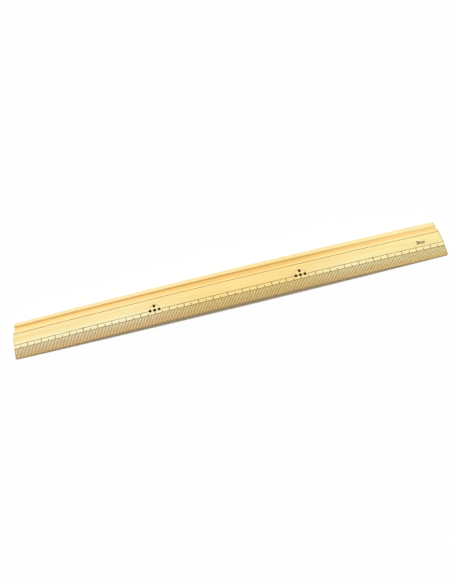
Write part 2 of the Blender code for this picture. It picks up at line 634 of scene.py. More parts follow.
@dataclass(frozen=True)
class Dots:
    """The single dots at every other fifth centimetre, and the clusters of four at the tenths."""

    strip: Strip
    first: float = 50 * MM
    first_cluster: float = 100 * MM
    spacing: float = 100 * MM
    singles: int = 3
    clusters: int = 2
    diameter: float = 0.9 * MM
    cluster_diameter: float = 2.0 * MM
    cluster_pitch: float = 3.1 * MM
    cluster_rise: float = 2.8 * MM
    depth: float = 0.12 * MM
    sides: int = 28

    def inputs(self, recess: float, fit: float) -> Sizes:
        """Name the dots' sizes for a recipe.

        Args:
            recess: How far below the surface they start.
            fit: What is taken off their radius.

        Returns:
            The inputs.
        """
        strip, above = self.strip, self.strip.shoulder + self.cluster_rise
        return {
            "Singles": self.singles,
            "Clusters": self.clusters,
            "Spacing": self.spacing,
            "First Single": self.first - strip.length / 2,
            "First Cluster": self.first_cluster - strip.length / 2,
            "Cluster Pitch": self.cluster_pitch,
            "Single Radius": self.diameter / 2 - fit,
            "Cluster Radius": self.cluster_diameter / 2 - fit,
            "Dot Depth": self.depth - recess,
            "Line": strip.shoulder,
            "Line Height": strip.top_height(strip.shoulder) - recess,
            "Line Tilt": strip.tilt(strip.shoulder),
            "Above": above,
            "Above Height": strip.top_height(above) - recess,
            "Above Tilt": strip.tilt(above),
        }

    def solids(self, recipe: Recipe, standing: float) -> Wire:
        """Make all dots as copies of one disc.

        Args:
            recipe: The recipe that they are added to.
            standing: How far a disc stands out of the surface, in its own depths.

        Returns:
            The discs.
        """
        sizes = {"Vertices": self.sides, "Side Segments": 1, "Fill Segments": 1, "Radius": 1.0}
        disc = recipe.node("GeometryNodeMeshCylinder", {**sizes, "Depth": 1.0 + standing})
        disc = recipe.turned(disc, Translation=(0.0, 0.0, (standing - 1) / 2))
        cluster, pitch = recipe.size("First Cluster"), recipe.size("Cluster Pitch")
        rows = [("Singles", recipe.size("First Single"), "Line", "Single Radius")]
        rows += [("Clusters", cluster + pitch * side, "Line", "Cluster Radius") for side in (-1.0, 0.0, 1.0)]
        rows += [("Clusters", cluster, "Above", "Cluster Radius")]
        made = []
        for count, first, row, radius in rows:
            start = recipe.vector(first, recipe.size(row), recipe.size(f"{row} Height"))
            points = recipe.row(recipe.size(count), start, recipe.size("Spacing"))
            turn = recipe.vector(recipe.size(f"{row} Tilt"))
            size = recipe.vector(recipe.size(radius), recipe.size(radius), recipe.size("Dot Depth"))
            made.append(recipe.copies(points, disc, Rotation=turn, Scale=size))
        return recipe.joined(made)


class Face(Enum):
    """The faces of the strip on which the bamboo looks different."""

    SCALE = "scale flat"
    GROOVE = "groove"
    SIDE = "long sides"
    UNDER = "underside"
    END = "end grain"


@dataclass(frozen=True)
class Spot:
    """Where a point of the surface lies on the straight strip.

    x runs from its middle, across from the scale edge, and height up from the underside.
    """

    x: Wire
    across: Wire
    height: Wire


@dataclass(frozen=True)
class Grain:
    """The grain at each point of the solid: broad streaks, fibres, flecks, and bundles of fibres cut open."""

    broad: Wire
    fibre: Wire
    fleck: Wire
    bundle: Wire


@dataclass(frozen=True)
class BambooFinish:
    """Colours of the worked bamboo, and where on the strip one gives way to the next.

    A run gives a colour at the zero end, in the middle and at the far end. A span or a fade says where a
    look starts to show and where it is full, and a fade also says how strong it is there.
    """

    strip: Strip
    crown: Run = ((0.972, 0.798, 0.391), (0.955, 0.705, 0.245), (0.985, 0.836, 0.384))
    cream: Run = ((0.985, 0.905, 0.530), (0.955, 0.710, 0.255), (0.985, 0.870, 0.440))
    back: Run = ((0.975, 0.790, 0.410), (0.960, 0.755, 0.360), (0.985, 0.820, 0.430))
    flat: Run = ((0.985, 0.935, 0.610), (0.945, 0.715, 0.280), (0.985, 0.860, 0.445))
    hatch: Run = ((0.975, 0.825, 0.505), (0.945, 0.710, 0.275), (0.990, 0.860, 0.430))
    hatch_edge: Run = ((0.885, 0.540, 0.185), (0.825, 0.535, 0.205), (0.970, 0.630, 0.230))
    groove: Run = ((0.930, 0.635, 0.225), (0.860, 0.535, 0.145), (0.927, 0.638, 0.235))
    # back half of the groove: partly painted shade of its back wall, partly a darker tone of the wood
    groove_back_shade: Run = ((0.760, 0.445, 0.120), (0.720, 0.405, 0.085), (0.897, 0.608, 0.230))
    # painted shadow: the rims of both ends darken as if shaded, most at the far end
    end_shadow: Run = ((0.800, 0.680, 0.430), (0.800, 0.680, 0.430), (0.600, 0.530, 0.300))
    stain: Colour = (0.95, 0.55, 0.06)
    streak: Colour = (0.86, 0.60, 0.22)
    # front side: brown wood darkened further as painted shade; the back side keeps the lighter wood colour
    side: Colour = (0.43, 0.275, 0.10)
    back_side: Colour = (0.80, 0.58, 0.26)
    under: Colour = (0.80, 0.60, 0.30)
    end: Colour = (0.87, 0.70, 0.40)
    bundle: Colour = (0.26, 0.14, 0.05)
    fleck: Colour = (0.48, 0.27, 0.08)

    far_span: Span = (40 * MM, 130 * MM)
    middle_at: float = 12 * MM
    middle_span: Span = (85 * MM, 25 * MM)
    crown_span: Span = (10.2 * MM, 12.6 * MM)
    back_span: Span = (22.2 * MM, 23.2 * MM)
    shoulder_span: Span = (0.05 * MM, -0.05 * MM)
    hatch_span: Span = (0.0 * MM, -0.3 * MM)
    brown_full: float = 0.5 * MM
    brown_share: Span = (0.45, 0.95)
    edge_shade_fade: Fade = (0.7 * MM, 0.1 * MM, 0.5)
    stain_fade: Fade = (0.55 * MM, 0.25 * MM, 0.22)
    end_shadow_fade: Fade = (1.3 * MM, 0.4 * MM, 0.7)
    front_lip: Span = (0.15 * MM, 1.0 * MM)
    back_lip: Span = (0.1 * MM, -0.3 * MM)
    back_shade_rise: Span = (0.0 * MM, 1.1 * MM)
    back_shade_fall: Span = (2.0 * MM, 1.5 * MM)
    groove_drift: float = 0.0044
    upward: Span = (0.0, 0.3)
    downward: Span = (-0.6, -0.9)
    sideways: Span = (0.6, 0.9)
    endways: Span = (0.5, 0.8)

    sway_grain: Pattern = Pattern((26.0, 90.0, 90.0), 1.0)
    sway_across: float = 0.9 * MM
    sway_up: float = 0.5 * MM
    broad_grain: Pattern = Pattern((9.0, 620.0, 620.0), 2.0, 0.6)
    fibre_grain: Pattern = Pattern((34.0, 4200.0, 4200.0), 3.0, 0.6)
    fleck_grain: Pattern = Pattern((150.0, 6500.0, 6500.0), 1.0)
    bundle_grain: Triple = (14.0, 1550.0, 1550.0)
    broad_fade: Fade = (0.45, 0.72, 0.30)
    fibre_fade: Fade = (0.42, 0.75, 0.28)
    fleck_fade: Fade = (0.63, 0.72, 0.34)
    fleck_loss: float = 0.6
    bundle_span: Span = (0.30, 0.12)
    bundle_least: float = 0.10
    bundle_most: float = 0.8
    scale_open: float = 0.05
    side_open: float = 0.25
    under_open: float = 0.30
    end_open: float = 0.60

    roughness: float = 0.52
    open_roughness: float = 0.10
    fibre_roughness: float = 0.12
    specular: float = 0.28
    bump: float = 0.35
    bump_depth: float = 0.03 * MM
    bundle_pit: float = 0.6

    def along(self, paint: Paint, spot: Spot, run: Run) -> Wire:
        """A colour that changes along the strip."""
        ends = paint.mix(paint.step(spot.x, *self.far_span), run[0], run[2])
        return paint.mix(paint.step(abs(spot.x - self.middle_at), *self.middle_span), ends, run[1])

    def core(self, spot: Spot) -> Wire:
        """Distance from the middle of the tan band in the groove, which drifts a little along the strip."""
        return spot.across - self.strip.groove + spot.x * self.groove_drift

    def masks(self, paint: Paint, spot: Spot) -> dict[Face, Wire]:
        """Tell the faces apart.

        Args:
            paint: The material's tree.
            spot: The point's place on the strip.

        Returns:
            A mask from 0 to 1 by face, in the order in which they are painted over each other.
        """
        along, sideways, up = paint.split(paint.facing())
        core, half = self.core(spot), self.strip.groove_width / 2
        lips = paint.step(core + half, *self.front_lip) * paint.step(core - half, *self.back_lip)
        return {
            Face.SCALE: paint.step(spot.across - self.strip.shoulder, *self.shoulder_span),
            Face.GROOVE: lips * paint.step(up, *self.upward),
            Face.SIDE: paint.step(abs(sideways), *self.sideways),
            Face.UNDER: paint.step(up, *self.downward),
            Face.END: paint.step(abs(along), *self.endways),
        }

    def grain(self, paint: Paint, spot: Spot) -> Grain:
        """Run the grain through the solid along the strip, so that each face cuts it its own way.

        Args:
            paint: The material's tree.
            spot: The point's place on the strip.

        Returns:
            The grain.
        """
        sway = paint.noise(paint.vector(spot.x, spot.across, spot.height), self.sway_grain) - 0.5
        across, up = spot.across + sway * self.sway_across, spot.height + sway * self.sway_up
        solid = paint.vector(spot.x, across, up)
        cells = {"Vector": paint.stretched(solid, self.bundle_grain), "Scale": 1.0, "Randomness": 1.0}
        return Grain(
            broad=paint.noise(solid, self.broad_grain),
            fibre=paint.noise(solid, self.fibre_grain),
            fleck=paint.noise(solid, self.fleck_grain),
            bundle=paint.step(paint.node("ShaderNodeTexVoronoi", cells), *self.bundle_span),
        )

    def upper(self, paint: Paint, spot: Spot) -> Wire:
        """Colour the crown, which turns to cream above the scale and pales at the back.

        Args:
            paint: The material's tree.
            spot: The point's place on the strip.

        Returns:
            The colour.
        """
        crown, cream, back = (self.along(paint, spot, run) for run in (self.crown, self.cream, self.back))
        colour = paint.mix(paint.step(spot.across, *self.crown_span), cream, crown)
        return paint.mix(paint.step(spot.across, *self.back_span), colour, back)

    def scale_flat(self, paint: Paint, spot: Spot, broad: Wire) -> Wire:
        """Colour the scale flat, which browns in streaks towards its thin edge, with painted shade at the
        edge.

        Args:
            paint: The material's tree.
            spot: The point's place on the strip.
            broad: The broad streaks of the grain.

        Returns:
            The colour.
        """
        flat, hatch, edge = (self.along(paint, spot, run) for run in (self.flat, self.hatch, self.hatch_edge))
        base = self.strip.base
        colour = paint.mix(paint.step(spot.across - base, *self.hatch_span), flat, hatch)
        least, most = self.brown_share
        brown = paint.step(spot.across, base, self.brown_full) * (least + (most - least) * broad)
        colour = paint.mix(brown, colour, edge)
        # painted shade along the scale edge, toward the front side's colour
        return paint.mix(paint.step(spot.across, *self.edge_shade_fade), colour, self.side)

    def groove_floor(self, paint: Paint, spot: Spot) -> Wire:
        """Colour the tan groove, darkest along its back side, with painted shade over darker wood.

        Args:
            paint: The material's tree.
            spot: The point's place on the strip.

        Returns:
            The colour.
        """
        core = self.core(spot)
        # painted shade along the groove's back half, over a darker tone of the wood
        back_shade = paint.step(core, *self.back_shade_rise) * paint.step(core, *self.back_shade_fall)
        return paint.mix(back_shade, *(self.along(paint, spot, run) for run in (self.groove, self.groove_back_shade)))

    def end_shadows_and_stains(self, paint: Paint, spot: Spot, colour: Wire) -> Wire:
        """Paint shadow on the rims of both ends, and stain the wood beside each line as the ink did.

        Args:
            paint: The material's tree.
            spot: The point's place on the strip.
            colour: The colour so far.

        Returns:
            The colour with both.
        """
        from_end = self.strip.length / 2 - abs(spot.x)
        # painted shadow at the rims of both ends
        colour = paint.mix(paint.step(from_end, *self.end_shadow_fade), colour, self.along(paint, spot, self.end_shadow))
        beside = abs(spot.across - self.strip.base)
        for line in (self.strip.shoulder, self.strip.back_line):
            beside = paint.math("MINIMUM", beside, abs(spot.across - line))
        return paint.mix(paint.step(beside, *self.stain_fade), colour, self.stain)

    def worked(self, paint: Paint, spot: Spot, grain: Grain, mask: dict[Face, Wire]) -> Wire:
        """Colour every face, before its fine grain.

        Args:
            paint: The material's tree.
            spot: The point's place on the strip.
            grain: The grain there.
            mask: The mask of each face.

        Returns:
            The colour.
        """
        shades = {
            Face.SCALE: self.scale_flat(paint, spot, grain.broad),
            Face.GROOVE: self.groove_floor(paint, spot),
            # the front side takes the darker colour, which is partly painted shade
            Face.SIDE: paint.mix(spot.across > self.strip.width / 2, self.side, self.back_side),
            Face.UNDER: self.under,
            Face.END: self.end,
        }
        colour = self.upper(paint, spot)
        for face, shade in shades.items():
            colour = paint.mix(mask[face], colour, shade)
        return self.end_shadows_and_stains(paint, spot, colour)

    def material(self) -> bpy.types.Material:
        """Build the material.

        Returns:
            The material.
        """
        strip = self.strip
        paint = Paint("worked_bamboo", self.roughness, self.specular)
        x, y, z = paint.split(paint.place())
        spot = Spot(x, y + strip.width / 2, z - (strip.bow - x * x / (2 * strip.arch_radius)))
        grain = self.grain(paint, spot)
        mask = self.masks(paint, spot)
        cut_open = mask[Face.SCALE] * self.scale_open + mask[Face.SIDE] * self.side_open
        cut_open = cut_open + mask[Face.UNDER] * self.under_open
        shown = self.bundle_least + cut_open + mask[Face.END] * self.end_open
        shown = paint.math("MINIMUM", shown, self.bundle_most)
        fleck = paint.step(grain.fleck, *self.fleck_fade) * (1.0 - self.fleck_loss * mask[Face.SCALE])

        colour = self.worked(paint, spot, grain, mask)
        colour = paint.mix(paint.step(grain.broad, *self.broad_fade), colour, self.streak)
        colour = paint.mix(paint.step(grain.fibre, *self.fibre_fade), colour, self.streak)
        colour = paint.mix(grain.bundle * shown, colour, self.bundle)
        colour = paint.mix(fleck, colour, self.fleck)

        roughness = self.roughness + self.open_roughness * cut_open
        roughness = roughness + self.fibre_roughness * (grain.fibre - 0.5)
        height = grain.fibre - self.bundle_pit * grain.bundle
        relief = {"Strength": self.bump, "Distance": self.bump_depth, "Height": height}
        bump = paint.node("ShaderNodeBump", relief)
        return paint.feed(Base_Color=colour, Roughness=roughness, Normal=bump)


@dataclass(frozen=True)
class InkFinish:
    """A matt stain in a cut or on the wood, a little thinner in places."""

    name: str
    colour: Colour
    thin: Colour
    thin_span: Span = (0.45, 0.80)
    roughness: float = 0.7
    thin_roughness: float = 0.2
    specular: float = 0.04
    patches: Pattern = Pattern.even(1.4 * MM, 3.0)

    def material(self) -> bpy.types.Material:
        """Build the material.

        Returns:
            The material.
        """
        paint = Paint(self.name, self.roughness, self.specular)
        patch = paint.noise(paint.place(), self.patches)
        colour = paint.mix(paint.step(patch, *self.thin_span), self.colour, self.thin)
        roughness = self.roughness + self.thin_roughness * (patch - 0.5)
        return paint.feed(Base_Color=colour, Roughness=roughness)


class Ink(Enum):
    """The inks of the scale and of its print."""

    TICK = InkFinish("tick_ink", (0.028, 0.017, 0.005), (0.060, 0.036, 0.012))
    LINE = InkFinish("line_ink", (0.042, 0.022, 0.005), (0.100, 0.055, 0.016))
    DOT = InkFinish("dot_ink", (0.032, 0.015, 0.003), (0.060, 0.030, 0.008))
    PRINT = InkFinish("print_ink", (0.018, 0.010, 0.003), (0.035, 0.020, 0.006))


@dataclass(frozen=True)
class BoardFinish:
    """White board that keeps the shadow of what lies on it, and is a little brighter where it is seen."""

    colour: Colour = (0.93, 0.93, 0.93)
    dull: Colour = (0.91, 0.91, 0.91)
    dull_span: Span = (0.2, 0.8)
    tooth: Pattern = Pattern.even(1.1 * MM, 2.0)
    roughness: float = 0.9
    lift: float = 0.061

    def material(self) -> bpy.types.Material:
        """Build the material.

        Returns:
            The material.
        """
        paint = Paint("white_board", self.roughness, 0.0)
        grain = paint.noise(paint.place(), self.tooth)
        colour = paint.mix(paint.step(grain, *self.dull_span), self.colour, self.dull)
        paint.shader.inputs["Emission Strength"].default_value = 1.0
        glow = paint.mix(paint.seen(), BLACK, (self.lift,) * 3)
        return paint.feed(Base_Color=colour, Emission_Color=glow)


@dataclass
class RulerStrip:
    """The strip of bamboo itself, with its groove, lines, marks and dot seats cut in.

    A lip's turn and the angle from which an edge is left sharp are in degrees.
    """

    strip: Strip
    scale: Scale
    dots: Dots
    end_steps: int = 8
    arris_steps: int = 3
    round_steps: int = 6
    under_steps: int = 6
    side_share: float = 0.25
    bowl_steps: int = 14
    top_steps: tuple[int, int, int] = (4, 4, 14)
    flat_steps: int = 5
    lip_turn: float = 4.0
    lip_ease: float = 0.10 * MM
    lip_drop: float = 0.025 * MM
    reach_gap: float = 0.01 * MM
    drill_stand: float = 3.0
    merge: float = 0.001 * MM
    sharp: float = 31.0

    @staticmethod
    def arc(centre: Point, radius: float, start: float, end: float, steps: int) -> list[Point]:
        """Draw a round of the section.

        Args:
            centre: Its centre.
            radius: Its radius.
            start: The first angle in degrees, from +Y towards +Z.
            end: The last angle.
            steps: How many stretches it has.

        Returns:
            The points, both ends included.
        """
        y, z = centre
        angles = [math.radians(start + (end - start) * step / steps) for step in range(steps + 1)]
        return [(y + radius * math.cos(angle), z + radius * math.sin(angle)) for angle in angles]

    def run(self, start: float, end: float, steps: int) -> list[Point]:
        """Points on the upper face between two places, with neither end."""
        places = [start + (end - start) * step / steps for step in range(1, steps)]
        return [(y, self.strip.top_height(y)) for y in places]

    def line_points(self, y: float) -> list[Point]:
        """Draw the cut of one scribed line.

        Args:
            y: The line's place across the strip.

        Returns:
            Its three corners, from its back side.
        """
        top, cut = self.strip.top_height, self.strip.line
        half = cut.width / 2
        return [(y + half, top(y + half)), (y, top(y) - cut.depth), (y - half, top(y - half))]

    def groove_points(self) -> list[Point]:
        """Draw the round groove with its eased lips.

        Returns:
            The points, from its back side.
        """
        strip = self.strip
        depth, half = strip.groove_depth, strip.groove_width / 2
        radius = (half**2 + depth**2) / (2 * depth)
        axis = strip.top_height(strip.groove) - depth + radius
        lip = math.degrees(math.asin(half / radius)) - self.lip_turn
        bowl = self.arc((strip.groove, axis), radius, -90.0 + lip, -90.0 - lip, self.bowl_steps)
        outer = half + self.lip_ease
        lips = []
        for side, drop in ((outer, 0.0), (half, self.lip_drop), (-half, self.lip_drop), (-outer, 0.0)):
            y = strip.groove + side
            lips.append((y, strip.top_height(y) - drop))
        return lips[:2] + bowl + lips[2:]

    def under_points(self) -> list[Point]:
        """Draw the underside with its two arrises and the back side.

        Returns:
            The points, from the scale edge.
        """
        width, arris = self.strip.width, self.strip.arris
        shares = [step / self.under_steps for step in range(1, self.under_steps)]
        points = self.arc((arris, arris), arris, 180.0, 270.0, self.arris_steps)
        points += [(arris + (width - 2 * arris) * share, 0.0) for share in shares]
        points += self.arc((width - arris, arris), arris, 270.0, 360.0, self.arris_steps)
        return points + [(width, self.strip.thickness * self.side_share)]

    def back_corner(self) -> list[Point]:
        """Draw the round between the back side and the crown.

        Returns:
            The points, from the back side.
        """
        strip, bend = self.strip, self.strip.back_round
        edge = strip.width - bend
        lean = -strip.tilt(edge)
        centre = (edge, strip.top_height(edge + bend * math.sin(lean)) - bend * math.cos(lean))
        return self.arc(centre, bend, 0.0, 90.0 - math.degrees(lean), self.round_steps)

    def front_corner(self) -> list[Point]:
        """Draw the arris between the flat and the scale edge.

        Returns:
            The points, from the flat.
        """
        strip, arris = self.strip, self.strip.arris
        lean = strip.tilt(arris * 2)
        centre = (arris, strip.top_height(arris * (1 - math.sin(lean))) - arris * math.cos(lean))
        return self.arc(centre, arris, 90.0 + math.degrees(lean), 180.0, self.arris_steps + 1)

    def section(self) -> list[Point]:
        """Draw the outline across the strip.

        Returns:
            The points, from the scale edge along the underside and back over the top.
        """
        strip = self.strip
        points = self.under_points() + self.back_corner()
        stops = [self.groove_points()] + [self.line_points(y) for y in (strip.back_line, strip.shoulder)]
        for stop, steps in zip(stops, self.top_steps):
            points += self.run(points[-1][0], stop[0][0], steps) + stop
        middle = self.scale.middle_reach
        points += [(y, strip.top_height(y)) for y in (middle + self.reach_gap, middle - self.reach_gap)]
        points += self.line_points(strip.base)
        points += self.run(points[-1][0], strip.arris, self.flat_steps)
        return points + self.front_corner()

    def outline(self) -> bpy.types.Mesh:
        """Turn the section half round, which is how a sweep along +x takes it.

        Returns:
            The section as a closed line.
        """
        points = self.section()
        edges = [(index, (index + 1) % len(points)) for index in range(len(points))]
        mesh = bpy.data.meshes.new("ruler_section")
        mesh.from_pydata([(-y, -z, 0.0) for y, z in points], edges, [])
        return mesh

    @staticmethod
    def upper(recipe: Recipe, z: Wire) -> Wire:
        """1 for points of the upper face, and 0 for those below."""
        return z > recipe.size("Edge Height") * 0.5

    @staticmethod
    def rounding(recipe: Recipe, distance: Wire, radius: Wire) -> Wire:
        """How far a round of a radius draws in at a distance from where it starts."""
        rest = recipe.math("MAXIMUM", radius - distance, 0.0)
        return radius - recipe.math("SQRT", radius * radius - rest * rest)

    def stations(self, recipe: Recipe) -> Wire:
        """Lay out the path of the sweep.

        It has steps round each end, and three points to every mark of the scale, one on each side of it
        and one at its middle.

        Args:
            recipe: The recipe that it is added to.

        Returns:
            The path, as a row of points along x.
        """
        index = recipe.node("GeometryNodeInputIndex")
        steps, half = recipe.size("End Steps"), recipe.size("Half Length")
        last = recipe.size("Marks") * 3.0 + steps * 2.0 - 1.0
        near = recipe.math("MINIMUM", index, last - index)
        turn = near / steps * (math.pi / 2)
        end = half - recipe.size("Corner Round") * (1.0 - recipe.math("COSINE", turn))
        end = end * recipe.math("SIGN", index - last * 0.5)
        number = recipe.math("FLOOR", (index - steps) / 3.0) + 1.0
        side = index - steps - number * 3.0 + 2.0
        mark = number * recipe.size("Pitch") + side * recipe.size("Tick Width") * 0.5 - half
        row = recipe.row(last + 1.0, recipe.vector())
        return recipe.moved(row, mark + (end - mark) * (near < steps), 0.0, 0.0)

    def ends_eased(self, recipe: Recipe, solid: Wire) -> Wire:
        """Round the end edges and the corners of the sweep.

        Args:
            recipe: The recipe that this is added to.
            solid: The sweep.

        Returns:
            The rounded solid.
        """
        x, y, z = recipe.place()
        distance = recipe.size("Half Length") - abs(x)
        inset = self.rounding(recipe, distance, recipe.size("End Round"))
        side = inset + self.rounding(recipe, distance, recipe.size("Corner Round"))
        inner = recipe.math("MINIMUM", y, recipe.size("Half Width") * 2.0 - side)
        down = inset * (1.0 - self.upper(recipe, z) * 2.0)
        return recipe.merged(recipe.moved(solid, x, recipe.math("MAXIMUM", inner, side), z + down))

    def notched(self, recipe: Recipe, solid: Wire) -> Wire:
        """Cut a notch at every mark, from the scale edge to the mark's reach.

        Args:
            recipe: The recipe that this is added to.
            solid: The sweep with its ends eased.

        Returns:
            The notched solid.
        """
        x, y, z = recipe.place()
        half, pitch = recipe.size("Half Length"), recipe.size("Pitch")
        number = recipe.math("ROUND", (x + half) / pitch)
        off = abs(x + half - number * pitch)
        here = (off < recipe.size("Tick Width") * 0.25) * (half - abs(x) > recipe.size("Corner Round"))
        here = here * (y < Scale.reach(recipe, number) + self.reach_gap / 2) * self.upper(recipe, z)
        floor = recipe.size("Edge Height") + recipe.size("Rise") * y - recipe.size("Tick Depth")
        return recipe.moved(solid, x, y, z - here * recipe.math("MAXIMUM", z - floor, 0.0))

    def build(self, finish: bpy.types.Material) -> bpy.types.Object:
        """Make the strip.

        Args:
            finish: Its material.

        Returns:
            The finished piece.
        """
        sizes = {
            "End Steps": self.end_steps,
            "End Round": self.strip.end_round,
            "Corner Round": self.strip.corner_round,
            "Tick Width": self.scale.tick.width,
            "Tick Depth": self.scale.tick.depth,
            "Merge": self.merge,
            **self.scale.inputs(),
            **self.dots.inputs(0.0, 0.0),
        }
        recipe = Recipe("ruler_strip", self.strip, finish, sizes)
        lines = (self.stations(recipe), recipe.size("Start"))
        path, profile = (recipe.node("GeometryNodeMeshToCurve", {0: line}) for line in lines)
        solid = self.notched(recipe, self.ends_eased(recipe, recipe.swept(path, profile)))
        seats = {"Mesh 1": solid, "Mesh 2": self.dots.solids(recipe, self.drill_stand)}
        solid = recipe.node("GeometryNodeMeshBoolean", seats, operation="DIFFERENCE", solver="EXACT")
        return recipe.finish(recipe.merged(solid), self.outline(), self.sharp)


@dataclass
class ScaleInk:
    """Ink in the cuts of the scale.

    The ink of a mark or a line is a prism with three sides. Its width and depth are those that it has on a
    circle of radius 1.
    """

    strip: Strip
    scale: Scale
    dots: Dots
    line_recess: float = 0.016 * MM
    line_pieces: int = 200
    edge_gap: float = 0.09 * MM
    end_gap: float = 0.3 * MM
    dot_fit: float = 0.01 * MM
    prism_sides: int = 3
    prism_width: float = math.sqrt(3.0)
    prism_depth: float = 1.5

    def prism_inputs(self, cut: Cut) -> Sizes:
        """The scale of a prism that is as wide and deep as a cut, as named inputs of a recipe."""
        return {"Prism Width": cut.width / self.prism_width, "Prism Depth": cut.depth / self.prism_depth}

    def prism(self, recipe: Recipe, pieces: Term = 1) -> Wire:
        """Make a prism along +y from 0 to 1, with a flat side on top at z 0, on a circle of radius 1.

        Args:
            recipe: The recipe that it is added to.
            pieces: The number of stretches along it.

        Returns:
            The prism.
        """
        inputs = {"Vertices": self.prism_sides, "Side Segments": pieces, "Radius": 1.0, "Depth": 1.0}
        prism = recipe.node("GeometryNodeMeshCylinder", inputs)
        x, y, z = recipe.place()
        return recipe.moved(prism, -y, z + 0.5, -(x + 0.5))

    def ticks(self, finish: bpy.types.Material) -> bpy.types.Object:
        """Make the marks of the scale.

        Args:
            finish: The ink.

        Returns:
            All marks as one piece.
        """
        ink = self.scale.tick.filled(self.scale.recess)
        sizes = {
            **self.scale.inputs(),
            "First": self.edge_gap,
            "Recess": self.scale.recess,
            **self.prism_inputs(ink),
        }
        recipe = Recipe("scale_ticks", self.strip, finish, sizes)
        first = recipe.size("First")
        reach = Scale.reach(recipe, recipe.node("GeometryNodeInputIndex") + 1)
        start = recipe.vector(recipe.size("Pitch") - recipe.size("Half Length"), first)
        size = recipe.vector(recipe.size("Prism Width"), reach - first, recipe.size("Prism Depth"))
        points = recipe.row(recipe.size("Marks"), start, recipe.size("Pitch"))
        solid = recipe.copies(points, self.prism(recipe), Scale=size)
        x, y, z = recipe.place()
        height = recipe.size("Edge Height") - recipe.size("Recess") + y * recipe.size("Rise")
        return recipe.finish(recipe.moved(solid, x, y, z + height))

    def lines(self, finish: bpy.types.Material) -> bpy.types.Object:
        """Make the three lines along the strip.

        Args:
            finish: The ink.

        Returns:
            All lines as one piece.
        """
        strip = self.strip
        places = {"Base": strip.base, "Shoulder": strip.shoulder, "Back": strip.back_line}
        sizes = {
            "Run": strip.length - 2 * self.end_gap,
            "Pieces": self.line_pieces,
            **self.prism_inputs(strip.line.filled(self.line_recess)),
        }
        for name, y in places.items():
            height = strip.top_height(y) - self.line_recess
            sizes |= {f"{name} Line": y, f"{name} Height": height, f"{name} Tilt": strip.tilt(y)}
        recipe = Recipe("scale_lines", strip, finish, sizes)
        run = recipe.size("Run")
        size = recipe.vector(recipe.size("Prism Width"), run, recipe.size("Prism Depth"))
        prism = self.prism(recipe, recipe.size("Pieces"))
        bar = recipe.turned(prism, Rotation=(0.0, 0.0, -math.pi / 2), Scale=size)
        made = []
        for name in places:
            place = recipe.vector(run * -0.5, recipe.size(f"{name} Line"), recipe.size(f"{name} Height"))
            turn = recipe.vector(recipe.size(f"{name} Tilt"))
            made.append(recipe.turned(bar, Translation=place, Rotation=turn))
        return recipe.finish(recipe.joined(made))

    def seats(self, finish: bpy.types.Material) -> bpy.types.Object:
        """Make the single dots and the clusters.

        Args:
            finish: The ink.

        Returns:
            All dots as one piece.
        """
        sizes = self.dots.inputs(self.scale.recess, self.dot_fit)
        recipe = Recipe("scale_dots", self.strip, finish, sizes)
        return recipe.finish(self.dots.solids(recipe, 0.0))


@dataclass
class ClusterArcs:
    """The fine printed arc that spans each cluster, from a start in degrees above the line."""

    strip: Strip
    dots: Dots
    radius: float = 3.95 * MM
    start: float = 17.0
    line_width: float = 0.10 * MM
    proud: float = 0.006 * MM
    steps: int = 40

    def build(self, finish: bpy.types.Material) -> bpy.types.Object:
        """Make both arcs, laid on the crown.

        Args:
            finish: The ink.

        Returns:
            The piece.
        """
        strip = self.strip
        sizes = {
            "Clusters": self.dots.clusters,
            "Spacing": self.dots.spacing,
            "First": self.dots.first_cluster - strip.length / 2,
            "Line": strip.shoulder,
            "Radius": self.radius,
            "Start Turn": math.radians(self.start),
            "Steps": self.steps,
            "Line Width": self.line_width,
            "Proud": self.proud,
            "Crown": strip.crown,
            "Crown Run": strip.crown - strip.shoulder,
            "Crown Height": strip.thickness,
            "Crown Drop": strip.shoulder_drop,
        }
        recipe = Recipe("cluster_arcs", strip, finish, sizes)
        start = recipe.size("Start Turn")
        turns = {"Start Angle": start, "Sweep Angle": math.pi - start * 2.0}
        inputs = {"Resolution": recipe.size("Steps"), "Radius": recipe.size("Radius"), **turns}
        arc = recipe.node("GeometryNodeCurveArc", inputs)
        inputs = {"Width": recipe.size("Line Width"), "Height": recipe.size("Proud") * 2.0}
        bar = recipe.node("GeometryNodeCurvePrimitiveQuadrilateral", inputs)
        first = recipe.vector(recipe.size("First"), recipe.size("Line"))
        points = recipe.row(recipe.size("Clusters"), first, recipe.size("Spacing"))
        solid = recipe.copies(points, recipe.swept(arc, bar))
        x, y, z = recipe.place()
        share = (recipe.size("Crown") - y) / recipe.size("Crown Run")
        top = recipe.size("Crown Height") - recipe.size("Crown Drop") * share * share
        return recipe.finish(recipe.moved(solid, x, y, z + top))


@dataclass(frozen=True)
class Word:
    """A run of plain figures or letters: where it starts on the scale, its width and its height."""

    text: str
    start: float
    width: float
    height: float


